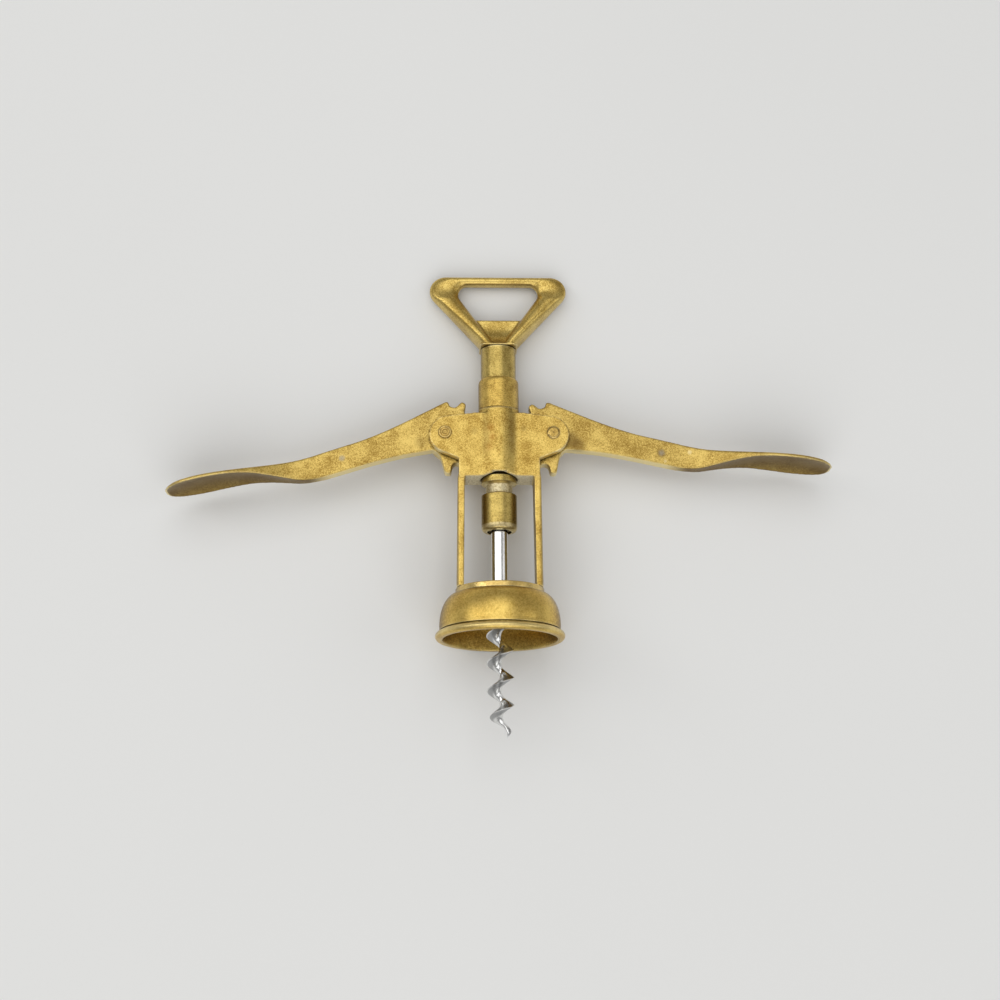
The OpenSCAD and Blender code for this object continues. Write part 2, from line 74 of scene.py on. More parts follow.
def makeCamera(look):
    camera = bpy.data.objects.new("camera", bpy.data.cameras.new("camera"))
    bpy.context.scene.collection.objects.link(camera)
    back = -Vector(look["forward"]).normalized()
    right = Vector(look["right"])
    right = (right - back * right.dot(back)).normalized()
    turn = Matrix((right, back.cross(right), back)).transposed()
    camera.matrix_world = Matrix.Translation(look["place"]) @ turn.to_4x4()
    camera.data.lens = look["lens"]
    camera.data.sensor_width = 36
    camera.data.shift_x = look["shift"]
    camera.data.clip_start = 0.01
    bpy.context.scene.camera = camera


makeCamera(cameraLook)


# Sums on sockets, for shaders and Geometry Nodes.

def findSocket(sockets, key):
    if isinstance(key, int):
        return sockets[key]
    for socket in sockets:
        if socket.identifier == key:
            return socket
    return next(socket for socket in sockets if socket.name == key)


class Wire:
    # one output of a node, which can be used in sums
    def __init__(self, board, socket):
        self.board, self.socket = board, socket

    def other(self, key):
        return Wire(self.board, findSocket(self.socket.node.outputs, key))

    def maths(self, operation, *rest):
        numbered = dict(enumerate((self, *rest)))
        return self.board.add("ShaderNodeMath", {"operation": operation}, numbered)

    def __add__(self, other):
        return self.maths("ADD", other)

    def __sub__(self, other):
        return self.maths("SUBTRACT", other)

    def __mul__(self, other):
        return self.maths("MULTIPLY", other)

    def __truediv__(self, other):
        return self.maths("DIVIDE", other)

    def __pow__(self, other):
        return self.maths("POWER", other)

    def __radd__(self, other):
        return self + other

    def __rsub__(self, other):
        numbered = {0: other, 1: self}
        return self.board.add("ShaderNodeMath", {"operation": "SUBTRACT"}, numbered)

    def __abs__(self):
        return self.maths("ABSOLUTE")

    def above(self, limit):
        return self.maths("GREATER_THAN", limit)

    def step(self, low, high):
        # 0 at low, 1 at high, with soft ends
        return self.board.add(
            "ShaderNodeMapRange", {"interpolation_type": "SMOOTHSTEP"},
            {"Value": self, "From Min": low, "From Max": high})


class Board:
    # a node tree and the one way to put a node on it
    def __init__(self, tree):
        self.tree = tree

    def add(self, kind, settings=None, values=None, out=0):
        node = self.tree.nodes.new(kind)
        for name, value in (settings or {}).items():
            setattr(node, name, value)
        for key, value in (values or {}).items():
            socket = findSocket(node.inputs, key)
            if isinstance(value, Wire):
                self.tree.links.new(value.socket, socket)
            else:
                socket.default_value = value
        return Wire(self, findSocket(node.outputs, out)) if len(node.outputs) else node

    def mix(self, share, first, second):
        return self.add(
            "ShaderNodeMix", {"data_type": "RGBA"},
            {"Factor_Float": share, "A_Color": first, "B_Color": second}, "Result_Color")

    def noise(self, place, size, detail=3.0, roughness=0.55, distortion=0.0):
        # size is the width of a blotch in the units of place
        return self.add("ShaderNodeTexNoise", {"noise_dimensions": "3D"}, {
            "Vector": place, "Scale": 1 / size, "Detail": detail,
            "Roughness": roughness, "Distortion": distortion})

    def vector(self, operation, first, second, out=0):
        return self.add("ShaderNodeVectorMath", {"operation": operation}, {0: first, 1: second}, out)


def tone(red, green, blue):
    # a colour as it looks on screen, 0 to 255
    return tuple(
        c / 12.92 if c <= 0.04045 else ((c + 0.055) / 1.055) ** 2.4
        for c in (red / 255, green / 255, blue / 255)) + (1.0,)


def newMaterial(name):
    material = bpy.data.materials.new(name)
    material.use_nodes = True
    material.node_tree.nodes.clear()
    return material, Board(material.node_tree)


def ownPlace(board):
    # millimetres across, along the axis and to the front
    spot = board.add("ShaderNodeTexCoord", out="Object")
    turnBack = Matrix.Rotation(lean, 3, "X")
    return board.add("ShaderNodeMapping", {"vector_type": "POINT"}, {
        "Vector": spot, "Location": tuple(turnBack @ mouth * -1000),
        "Rotation": (lean, 0, 0), "Scale": (1000,) * 3})


def stretched(board, place, scale, turn=(0, 0, 0)):
    return board.add("ShaderNodeMapping", None, {"Vector": place, "Rotation": turn, "Scale": scale})


def openness(board, reach, inside=False):
    # 1 in the open, less near a corner, or inside near a rim; the reach is in millimetres
    settings = {"samples": 8, "inside": inside, "only_local": inside}
    return board.add("ShaderNodeAmbientOcclusion", settings, {"Distance": reach / 1000}, "AO")


def towards(board, direction):
    # how far a face looks that way, from -1 to 1
    normal = board.add("ShaderNodeTexCoord", out="Normal")
    return board.vector("DOT_PRODUCT", normal, tuple(direction), "Value")


def cutUp(board, place):
    # across; its height is the Y output and its front the Z output
    return board.add("ShaderNodeSeparateXYZ", None, {0: place})


def finishMaterial(board, colour, roughness, bump, metallic=1.0):
    # closes a node tree with its shader and its output
    shader = board.add(
        "ShaderNodeBsdfPrincipled", {"distribution": "MULTI_GGX"},
        {"Base Color": colour, "Roughness": roughness, "Metallic": metallic, "Normal": bump})
    board.add("ShaderNodeOutputMaterial", None, {"Surface": shader})


# Metals.

agedBrass = {
    "light": tone(226, 196, 110),
    "deep": tone(182, 146, 66),
    "brown": tone(128, 96, 46),
    # side is a painted shade tone for faces that turn away from the front and the back
    "side": tone(98, 76, 38),
    # a pale tone for edge wear, also used for painted highlights
    "worn": tone(250, 234, 176),
    # a dark tone for dirty corners and painted shade near other surfaces
    "dirtAndShade": tone(52, 40, 22),
    "scrapedAndLit": tone(252, 244, 214),
    "scrapedAndLitDeep": tone(214, 202, 164),
    "blotch": 5.0,
    "speckle": 0.6,
    "grain": 0.24,
    "brownShare": 0.55,
    "sideShare": 0.8,
    # the share of a painted highlight on side faces that look towards the bell
    "lowerShare": 0.45,
    "dirtAndShadeShare": 0.9,
    "rimWidth": 0.8,
    "wornShare": 0.8,
    "rough": 0.4,
    "roughSpread": 0.16,
    "bump": 0.35,
    "bumpDeep": 0.12,
    "cornerWidth": 3.0,
    "lines": 0.0,
}


def patina(board, look, place, blotch, sand, lower):
    # light and deep brass under a brown film, of which the second output is the share; also painted shade on
    # faces turned aside and a painted highlight on side faces towards the bell
    brown = ((blotch - 0.5) * 1.1 + sand + 0.45).step(0.42, 1.05)
    colour = board.mix((blotch + sand * 0.8).step(0.26, 0.74), look["light"], look["deep"])
    colour = board.mix(brown * look["brownShare"], colour, look["brown"])
    # painted shade: faces that turn away from the front and the back are darkened to the side tone
    facing = abs(towards(board, front))
    # painted highlight: side faces that look towards the bell are made pale, but not on the paddles
    lowerLit = lower * (1 - abs(cutUp(board, place)).step(56, 66))
    sideShade = (1 - facing + sand * 0.12).step(0.42, 0.9) * (1 - lowerLit * 0.8)
    colour = board.mix(sideShade * look["sideShare"], colour, look["side"])
    edges = (1 - facing).step(0.1, 0.6) * lowerLit
    return board.mix(edges * look["lowerShare"], colour, look["worn"]), brown


def spotted(board, place, marks, speckle, colour, height):
    # stains and nicks, each a soft spot with its own colour and a shallow dent
    for x, h, z, radius, soft, spotTone, strength in marks:
        away = board.vector("DISTANCE", place, (x, h, z), "Value") + (speckle - 0.5) * radius * 0.9
        spot = 1 - away.step(radius * (1 - soft), radius)
        colour = board.mix(spot * strength, colour, spotTone)
        height = height - spot * 0.15
    return colour, height


def brassMaterial(name, marks=(), cutAndLit=None, darkening=None, paintedHighlight=None, **changes):
    # cast or turned brass with brown patina, dirty corners and painted shade near other surfaces, bright wear
    # on the rims, and painted highlights and painted shade by which way a face looks
    look = {**agedBrass, **changes}
    material, board = newMaterial(name)
    place = ownPlace(board)
    blotch = board.noise(place, look["blotch"], 3.0, 0.55, 0.3)
    speckle = board.noise(place, look["speckle"], 4.0, 0.65, 0.2)
    grain = board.noise(place, look["grain"], 2.0, 0.6)
    scratch = board.noise(stretched(board, place, (0.25, 3.0, 3.0), (0.2, 0.3, 0.7)), 0.6, 2.0, 0.6)
    sand = (speckle - 0.5) * 1.5 + (grain - 0.5) * 1.9
    lower = towards(board, -alongAxis).step(-0.1, 0.3)
    colour, brown = patina(board, look, place, blotch, sand, lower)
    roughness = look["rough"] + (blotch - 0.5) * look["roughSpread"]
    roughness = roughness + (scratch - 0.5) * 0.12 + brown * 0.08 + (grain - 0.5) * 0.2
    height = speckle * 0.6 + grain * 0.7 + blotch * 0.6 - scratch.step(0.62, 0.7) * 0.12
    if look["lines"]:
        # the fine rings that a lathe leaves, across the axis
        rings = board.add("ShaderNodeTexNoise", {"noise_dimensions": "1D"}, {
            "W": cutUp(board, place).other("Y"), "Scale": 3.2, "Detail": 4.0, "Roughness": 0.7})
        height = height + rings * look["lines"]
        roughness = roughness + (rings - 0.5) * 0.12
        colour = board.mix(rings.step(0.56, 0.7) * 0.25, colour, look["brown"])
    # painted shade down the sides of the body's boss, and the darker inside walls of the bell
    if darkening:
        colour = board.mix(darkening(board, place, sand), colour, look["side"])
    # a painted highlight in the pale tone
    if paintedHighlight:
        colour = board.mix(paintedHighlight(board, place), colour, look["worn"])
    metallic = 1.0
    if cutAndLit:
        # a face that a tool cut bright, or painted pale light: the share is 1 there
        share = cutAndLit(board, place)
        scrapedAndLit = board.mix(speckle.step(0.4, 0.62), look["scrapedAndLit"], look["scrapedAndLitDeep"])
        colour = board.mix(share, colour, scrapedAndLit)
        metallic = 1 - share * 0.8
    colour, height = spotted(board, place, marks, speckle, colour, height)
    corner = openness(board, look["cornerWidth"])
    rim = openness(board, look["rimWidth"], True)
    # dirty corners and painted shade: darker near corners, near other pieces and near the floor
    dirtAndShade = (1.02 - corner + (speckle - 0.5) * 0.45).step(0.24, 0.74)
    # edge wear on the rims, brighter on rims that face the bell as a painted highlight
    worn = (1 - rim + (speckle - 0.5) * 0.35).step(0.12, 0.4) * (lower * 0.6 + 0.4)
    colour = board.mix(worn * look["wornShare"], colour, look["worn"])
    colour = board.mix(dirtAndShade * look["dirtAndShadeShare"], colour, look["dirtAndShade"])
    roughness = roughness - worn * 0.1 + dirtAndShade * 0.15
    bump = board.add("ShaderNodeBump", None, {
        "Strength": look["bump"], "Distance": look["bumpDeep"] / 1000, "Height": height})
    finishMaterial(board, colour, roughness, bump, metallic)
    return material


steel = {
    "darkening": tone(60, 54, 44),
    "paintedDarkFlank": tone(100, 101, 103),
    "cornerWidth": 3.0,
    "bump": 0.2,
    "bumpDeep": 0.05,
}


def steelMaterial(name, light, dark, rough, blade=None):
    # bright steel with faint draw marks, dirty corners and painted shade near other surfaces; a painted dark
    # reflection on a blade's outer flank
    material, board = newMaterial(name)
    place = ownPlace(board)
    cloud = board.noise(place, 2.4, 4.0, 0.6, 0.4)
    drawn = board.noise(stretched(board, place, (6.0, 0.35, 6.0)), 1.0, 3.0, 0.6)
    corner = openness(board, steel["cornerWidth"])
    # dirty corners and painted shade: darker near corners and near other surfaces
    darkening = (1.0 - corner + (cloud - 0.5) * 0.5).step(0.35, 0.95)
    colour = board.mix(cloud.step(0.4, 0.75) * 0.5, light, dark)
    colour = board.mix(darkening * 0.6, colour, steel["darkening"])
    roughness = rough + (drawn - 0.5) * 0.16 + (cloud - 0.5) * 0.1 + darkening * 0.2
    if blade:
        middle, edge = blade
        flat = board.vector("MULTIPLY", place, (1, 0, 1))
        out = board.vector("LENGTH", flat, (0, 0, 0), "Value")
        below = 1 - cutUp(board, place).other("Y").step(3.0, 9.0)
        # a painted dark reflection on the blade's outer flank, below the shank
        paintedDarkFlank = out.step(middle, middle + 1.0) * (1 - out.step(edge - 0.5, edge - 0.15)) * below
        colour = board.mix(paintedDarkFlank * 0.6, colour, steel["paintedDarkFlank"])
        roughness = roughness + paintedDarkFlank * 0.12
    bump = board.add("ShaderNodeBump", None, {
        "Strength": steel["bump"], "Distance": steel["bumpDeep"] / 1000, "Height": drawn * 0.6 + cloud * 0.6})
    finishMaterial(board, colour, roughness, bump)
    return material


def cutFoot(board, place):
    # the underside of the body between its legs was cut clean
    height = cutUp(board, place).other("Y")
    band = height.step(54.5, 55.3) * (1 - height.step(57.6, 58.4))
    return towards(board, -alongAxis).step(0.8, 0.95) * band * 0.9


def bossShade(board, place, sand):
    # painted shade: dark down both sides of the boss, more on the right
    x = cutUp(board, place)
    right = 1 - abs(x - 4.4 + sand * 0.5).step(0.2, 2.4)
    left = 1 - abs(x + 4.8 + sand * 0.8).step(0.2, 2.2)
    return (right * 0.5 + left * 0.35) * x.other("Y").step(58, 68) * x.other("Z").above(6.0)


def insideShare(board, x):
    # 1 where a round wall faces its own axis
    outwards = towards(board, across) * x + towards(board, front) * x.other("Z")
    return 1 - outwards.step(-3.0, -1.0)


def beadHighlight(board, place):
    # painted highlight: the outside of the bead at the bell's mouth is made pale
    x = cutUp(board, place)
    height = x.other("Y")
    return (1 - height.step(2.2, 2.6)) * height.step(0.4, 1.2) * (1 - insideShare(board, x)) * 0.4


def bellInsideDark(board, place, sand):
    # the inside walls are made darker brown, speckled
    share = (0.3 + sand * 0.6).maths("MINIMUM", 1.0).maths("MAXIMUM", 0.0)
    return insideShare(board, cutUp(board, place)) * share


def rackPaintedLight(board, place):
    # painted light: the floor of the lowest groove, which lies in shade, and the round of the end are made
    # pale
    height = cutUp(board, place).other("Y")
    groove = 1 - abs(height - 52.3).step(1.2, 1.9)
    end = 1 - abs(height - 38.9).step(0.4, 1.1)
    return groove * 0.5 + end * 0.3


stain = tone(96, 70, 34)
rust = tone(168, 108, 44)
grey = tone(150, 146, 136)
pale = tone(232, 214, 160)

# Each mark: across, height, front, radius, softness, colour, strength.
bodyMarks = [
    (-3.0, 73.0, 7.0, 2.2, 0.9, rust, 0.35), (-2.6, 69.5, 7.2, 2.0, 0.9, rust, 0.4),
    (-3.4, 66.0, 6.8, 2.4, 0.9, rust, 0.3), (-8.6, 72.0, 6.0, 2.0, 0.9, stain, 0.25),
    (8.4, 73.0, 6.0, 1.8, 0.9, stain, 0.3), (-pivotApart, pivotHeight, 6.0, 2.8, 0.3, stain, 0.65),
    (pivotApart, pivotHeight, 6.0, 2.8, 0.3, stain, 0.65),
]
leverMarks = [
    (56.2, 65.3, 2.6, 2.2, 0.6, stain, 0.5), (56.2, 65.4, 2.6, 1.6, 0.8, grey, 0.55),
    (66.0, 65.6, 2.6, 1.0, 0.6, pale, 0.6), (57.4, 62.4, 2.6, 0.8, 0.7, pale, 0.6),
    (-54.0, 63.1, 2.6, 1.5, 0.7, grey, 0.6), (24.6, 70.0, 2.6, 4.4, 0.7, stain, 0.6),
    (27.4, 68.0, 2.6, 3.6, 0.7, stain, 0.5), (-27.0, 69.0, 2.6, 3.0, 0.7, stain, 0.3),
]
handleMarks = [
    (-13.4, 116.0, 2.6, 1.0, 0.6, stain, 0.8), (-7.2, 129.6, 3.0, 0.4, 0.5, stain, 0.8),
    (7.8, 129.2, 3.0, 0.45, 0.5, stain, 0.8), (9.6, 128.8, 3.2, 0.3, 0.5, stain, 0.7),
]

brasses = {
    "cast body": brassMaterial(
        "cast body", bodyMarks, cutAndLit=cutFoot, darkening=bossShade, blotch=6.0, lowerShare=0.75),
    "cast lever": brassMaterial(
        "cast lever", leverMarks, light=tone(216, 187, 106), deep=tone(170, 138, 66), rimWidth=0.65,
        brownShare=0.45, blotch=7.0, lowerShare=0.85),
    "handle": brassMaterial(
        "handle", handleMarks, light=tone(226, 198, 116), deep=tone(182, 150, 72), rough=0.35, bump=0.2,
        brownShare=0.42, blotch=9.0, speckle=0.5, wornShare=0.5, sideShare=0.6, lowerShare=0.2),
    "turned bell": brassMaterial(
        "turned bell", darkening=bellInsideDark, paintedHighlight=beadHighlight, light=tone(228, 196, 108),
        deep=tone(200, 164, 80), rough=0.34, bump=0.22, brownShare=0.3, lowerShare=0.1,
        blotch=11.0, speckle=0.8, lines=0.8),
    "foot ring": brassMaterial(
        "foot ring", light=tone(232, 204, 132), deep=tone(206, 172, 96), rough=0.3, bump=0.2,
        brownShare=0.25, blotch=8.0, lines=0.5),
    "collar": brassMaterial(
        "collar", rimWidth=0.35, light=tone(220, 187, 100), deep=tone(182, 148, 72), rough=0.38,
        brownShare=0.5, blotch=3.6, lines=0.35),
    "rack": brassMaterial(
        "rack", cutAndLit=rackPaintedLight, light=tone(206, 180, 104), deep=tone(168, 144, 76), rough=0.34,
        bump=0.3, brownShare=0.55, blotch=4.2, lines=0.4),
    "pin": brassMaterial(
        "pin", light=tone(206, 174, 98), deep=tone(166, 134, 66), rough=0.34, brownShare=0.5,
        wornShare=0.25, blotch=1.6, speckle=0.4),
    "washer": brassMaterial(
        "washer", light=tone(170, 138, 72), deep=tone(120, 94, 46), brownShare=0.8, blotch=2.0),
}
wormSteel = steelMaterial("worm steel", tone(234, 234, 232), tone(186, 186, 184), 0.18, (1.9, 4.65))
pinSteel = steelMaterial("pin steel", tone(190, 190, 188), tone(150, 150, 148), 0.35)
print("materials made:", len(brasses) + 2)


# Ways to make a mesh.

def putDown(name, points, faces, material, sharp):
    # a mesh drawn in millimetres, laid in its place, its faces outwards
    mesh = bpy.data.meshes.new(name)
    mesh.from_pydata([tuple(p) for p in points], [], faces)
    mesh.transform(lay)
    return dressed(name, mesh, material, sharp)


def dressed(name, mesh, material, sharp):
    shape = bmesh.new()
    shape.from_mesh(mesh)
    bmesh.ops.remove_doubles(shape, verts=shape.verts, dist=1e-7)
    bmesh.ops.recalc_face_normals(shape, faces=shape.faces)
    shape.to_mesh(mesh)
    shape.free()
    mesh.materials.clear()
    mesh.materials.append(material)
    mesh.shade_smooth()
    mesh.set_sharp_from_angle(angle=math.radians(sharp))
    piece = bpy.data.objects.new(name, mesh)
    bpy.context.scene.collection.objects.link(piece)
    return piece


def hand(piece, body, slot, *nodes):
    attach(piece, body)
    if nodes:
        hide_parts(*nodes)
    print("piece", piece.name, len(piece.data.polygons), "faces")


def arc(middle, wide, high, start, end, steps):
    return [
        (middle[0] + wide * math.cos(a), middle[1] + high * math.sin(a))
        for a in np.radians(np.linspace(start, end, steps + 1))]


def softened(corners, steps=4):
    # a closed line through corners (x, y, rounding)
    line = []
    for i, (x, y, rounding) in enumerate(corners):
        here = Vector((x, y))
        before = Vector(corners[i - 1][:2]) - here
        after = Vector(corners[(i + 1) % len(corners)][:2]) - here
        if rounding <= 0 or before.length < 1e-6 or after.length < 1e-6:
            line.append((x, y))
            continue
        half = before.angle(after) / 2
        reach = min(rounding / math.tan(half), before.length * 0.49, after.length * 0.49)
        start, end = here + before.normalized() * reach, here + after.normalized() * reach
        for k in range(steps + 1):
            t = k / steps
            line.append(tuple(start * (1 - t) ** 2 + here * 2 * t * (1 - t) + end * t ** 2))
    return line


def bridges(gaps, rings, count):
    # faces across the gaps between rings of so many points each
    faces = []
    for i in range(gaps):
        here, there = i * count, (i + 1) % rings * count
        for j in range(count):
            nextOne = (j + 1) % count
            faces.append((here + j, here + nextOne, there + nextOne, there + j))
    return faces


def lathe(profile, steps, turn=None):
    # closed profile of (radius, height), turned round the axis or placed by turn
    turn = turn or (lambda r, h, a: (r * math.cos(a), h, r * math.sin(a)))
    points = [turn(r, h, 2 * math.pi * k / steps) for k in range(steps) for r, h in profile]
    return points, bridges(steps, steps, len(profile))


def loft(rings, closed):
    # skin over rings that all have the same number of points
    count = len(rings[0])
    last = len(rings) if closed else len(rings) - 1
    points = [p for ring in rings for p in ring]
    faces = bridges(last, len(rings), count)
    if not closed:
        faces += [list(range(count))[::-1], [(len(rings) - 1) * count + j for j in range(count)]]
    return points, faces


def slab(outline, low, high):
    # outline of (x, h) made solid from low to high, to the front
    count = len(outline)
    points = [(x, h, low) for x, h in outline] + [(x, h, high) for x, h in outline]
    faces = [(j, (j + 1) % count, count + (j + 1) % count, count + j) for j in range(count)]
    return points, faces + [list(range(count))[::-1], [count + j for j in range(count)]]


def castSkin(name, shells, material, voxel, rounds, keep):
    # joins closed shells under one skin with its corners softly rounded, as casting leaves them
    shape = bmesh.new()
    for points, faces in shells:
        corners = [shape.verts.new(p) for p in points]
        made = [shape.faces.new([corners[i] for i in face]) for face in faces]
        bmesh.ops.recalc_face_normals(shape, faces=made)
    bmesh.ops.triangulate(shape, faces=shape.faces)
    mesh = bpy.data.meshes.new(name + " shells")
    shape.to_mesh(mesh)
    shape.free()
    return skinned(name, mesh, material, voxel, rounds, keep)


def skinned(name, mesh, material, voxel, rounds, keep):
    rough = bpy.data.objects.new(name + " rough", mesh)
    bpy.context.scene.collection.objects.link(rough)
    remesh = rough.modifiers.new("skin", "REMESH")
    remesh.mode, remesh.voxel_size = "VOXEL", voxel
    even = rough.modifiers.new("even", "SMOOTH")
    even.factor, even.iterations = 0.5, rounds
    thin = rough.modifiers.new("thin", "DECIMATE")
    thin.ratio = keep
    bpy.context.view_layer.update()
    skin = bpy.data.meshes.new_from_object(rough.evaluated_get(bpy.context.evaluated_depsgraph_get()))
    bpy.data.objects.remove(rough)
    skin.name = name
    skin.transform(lay)
    return dressed(name, skin, material, 50)


def smooth(t):
    t = min(1.0, max(0.0, t))
    return t * t * (3 - 2 * t)


def touchAngle(point, middle, radius):
    # where a line from the point touches the circle on its lower right side
    away = Vector(point) - Vector(middle)
    return math.degrees(math.atan2(away.y, away.x)) + math.degrees(math.acos(radius / away.length))


# Bell and foot ring, turned.

bellSizes = {
    "rim": 21.9, "mouth": 19.4, "bead": 1.3, "side": 20.5, "straight": 2.2, "height": 15.5, "top": 15.0,
    "wall": 1.8, "guide": 5.4, "spigot": 7.0, "spigotTop": 17.9, "steps": 144,
    # a groove over the bead: how far out of the side, and how high
    "groove": [
        (0.05, 2.5), (-0.42, 2.62), (-0.5, 2.84), (-0.42, 3.06), (-0.02, 3.16), (0.02, 3.36), (-0.06, 3.62)],
}


def makeBell(s):
    domeLow = 2 * s["bead"] + s["straight"]
    innerTop = s["height"] - s["wall"]
    bead = arc((s["rim"] - s["bead"], s["bead"]), s["bead"], s["bead"], -84, 66, 18)
    groove = [(s["side"] + out, high) for out, high in s["groove"]]
    dome = arc((s["top"], domeLow), s["side"] - s["top"], s["height"] - domeLow, 0, 90, 30)
    # the last corner only gives the rounding before it its way
    spigot = softened([
        (s["spigot"], s["height"], 0), (s["spigot"], s["spigotTop"], 0.15),
        (s["guide"], s["spigotTop"], 0.25), (s["guide"], innerTop, 0.3), (9, innerTop, 0)])[:-1]
    inner = arc((s["top"] - s["wall"], domeLow), s["side"] - s["top"], innerTop - domeLow, 90, 0, 24)
    edge = [(19.28, 1.0), (s["mouth"] - 0.02, 0.35), (s["mouth"] + 0.1, 0.1), (s["mouth"] + 0.35, 0.02)]
    points, faces = lathe(bead + groove + dome + spigot + inner + edge, s["steps"])
    return putDown("bell_cup", points, faces, brasses["turned bell"], 40)


ringSizes = {"bore": 7.02, "outside": 15.05, "low": 15.5, "top": 17.5, "steps": 144}


def makeFootRing(s):
    profile = softened([
        (s["bore"], s["low"], 0), (s["outside"], s["low"] + 0.02, 0.15),
        (s["outside"], s["top"], 0.45), (s["bore"], s["top"], 0.1)], 6)
    points, faces = lathe(profile, s["steps"])
    return putDown("foot_disc", points, faces, brasses["foot ring"], 40)


hand(makeBell(bellSizes), "frame", "turned_brass", "bell")
hand(makeFootRing(ringSizes), "frame", "bright_brass", "foot_ring")


# Body casting.

bodySizes = {
    "boss": 7.5, "cheek": 6.0, "hollow": 9.0, "bore": 6.5, "low": 55.9, "arch": 1.5, "top": 78.6,
    "voxel": 0.3, "rounds": 4, "keep": 0.4,
}


def bossHollow(s, side, end):
    # a wide soft hollow from the boss to the cheek, on one side of the front or the back
    middleZ = s["cheek"] + s["hollow"]
    away = s["boss"] + s["hollow"]
    middleX = math.sqrt(away ** 2 - middleZ ** 2)
    rings = []
    for x in np.linspace(middleX * s["boss"] / away, middleX, 14):
        z = middleZ - math.sqrt(max(0.0, s["hollow"] ** 2 - (x - middleX) ** 2))
        low = s["low"] + s["arch"] * (1 + math.cos(math.pi * x / s["boss"])) / 2 + 0.05
        # the filling stays out of the bore
        foot = max(s["cheek"] - 1, math.sqrt(max(0.0, s["bore"] ** 2 - x ** 2)))
        corners = (low, foot), (low, z), (s["top"], z), (s["top"], foot)
        rings.append([(side * x, h, end * d) for h, d in corners])
    return loft(rings, False)


def makeBody(s):
    # the casting's own solid, with the corners beside its boss filled and its edges rounded
    mesh = frame["nodes"]["body_casting"].data.copy()
    mesh.transform(lay.inverted())
    shape = bmesh.new()
    shape.from_mesh(mesh)
    bmesh.ops.remove_doubles(shape, verts=shape.verts, dist=1e-3)
    for side in (-1, 1):
        for end in (-1, 1):
            points, faces = bossHollow(s, side, end)
            corners = [shape.verts.new(p) for p in points]
            made = [shape.faces.new([corners[i] for i in face]) for face in faces]
            bmesh.ops.recalc_face_normals(shape, faces=made)
    shape.to_mesh(mesh)
    shape.free()
    return skinned("body_cheeks", mesh, brasses["cast body"], s["voxel"], s["rounds"], s["keep"])


hand(makeBody(bodySizes), "frame", "cast_brass", "body_casting")


# Guide collar, turned.

collarSizes = {
    "bore": 6.16, "seat": 6.7, "outside": 7.0, "seatLow": 79.2, "low": 80.7, "top": 91.95,
    "shoulderWide": 0.75, "shoulderHigh": 1.6, "steps": 96,
}


def makeCollar(s):
    profile = softened([
        (s["bore"], s["seatLow"], 0), (s["seat"], s["seatLow"], 0), (s["seat"], s["low"], 0),
        (s["outside"] - 0.12, s["low"] + 0.02, 0.1), (s["outside"], s["low"] + 0.35, 0.2),
        (s["outside"], s["low"] + 1.2, 0), (s["outside"], s["top"] - 2.2, 0)])
    wide, high = s["shoulderWide"], s["shoulderHigh"]
    profile += arc((s["outside"] - wide, s["top"] - high), wide, high, 0, 90, 12)
    profile += [(s["bore"] + 0.04, s["top"] - 0.02), (s["bore"], s["top"] - 0.2)]
    points, faces = lathe(profile, s["steps"])
    return putDown("guide_sleeve", points, faces, brasses["collar"], 40)


hand(makeCollar(collarSizes), "frame", "turned_brass", "guide_collar")


# Pivot pins.

pinSizes = {
    "radius": 1.88, "head": 2.15, "face": 6.0, "rise": 0.45, "steps": 64, "dent": 0.05, "seed": 7,
    # out from the middle as a share of the head, and height from its top
    "rings": [
        (0.86, 0.0), (0.8, 0.0), (0.72, -0.2), (0.66, -0.2), (0.6, -0.02), (0.46, -0.02), (0.4, -0.22),
        (0.34, -0.22), (0.28, -0.04), (0.14, -0.04), (0.08, -0.16)],
    "dome": [(0.96, -0.22), (0.86, -0.1), (0.7, -0.02), (0.5, 0.0), (0.3, 0.0), (0.12, -0.01)],
}


def pinHead(s, turnedRings):
    # radius and height from the face outwards to the middle
    face, head, top = s["face"] - 0.1, s["head"], s["face"] + s["rise"]
    if turnedRings:
        side = [(s["radius"], face), (head, face), (head, face + 0.3), (head - 0.1, top - 0.04)]
        return side + [(head * r, top + d) for r, d in s["rings"]]
    side = [(s["radius"], face), (head, face), (head, face + 0.1)]
    return side + [(head * r, top + d) for r, d in s["dome"]]


def makePin(name, side, turnedRings, s):
    half = pinHead(s, turnedRings)
    profile = half + [(0.0005, half[-1][1]), (0.0005, -half[-1][1])] + [(r, -z) for r, z in half[::-1]]
    chance = np.random.default_rng(s["seed"] + side)
    hammer = chance.normal(0, s["dent"], (s["steps"], len(profile)))
    hammer = sum(np.roll(hammer, k, 0) for k in range(-3, 4)) / 3

    def place(r, z, a):
        k = int(round(a / (2 * math.pi) * s["steps"])) % s["steps"]
        i = min(range(len(profile)), key=lambda n: abs(profile[n][0] - r) + abs(profile[n][1] - z))
        dent = 0 if turnedRings or abs(z) < s["face"] + 0.05 or r < 0.1 else hammer[k, i]
        r = r - abs(dent) * 0.8
        z = z - math.copysign(abs(dent), z)
        return (side * pivotApart + r * math.cos(a), pivotHeight + r * math.sin(a), z)

    points, faces = lathe(profile, s["steps"], place)
    return putDown(name, points, faces, brasses["pin"], 35)


hand(makePin("left_rivet", -1, True, pinSizes), "frame", "pin_brass", "left_pivot_pin")
hand(makePin("right_rivet", 1, False, pinSizes), "frame", "pin_brass", "right_pivot_pin")


# Levers.

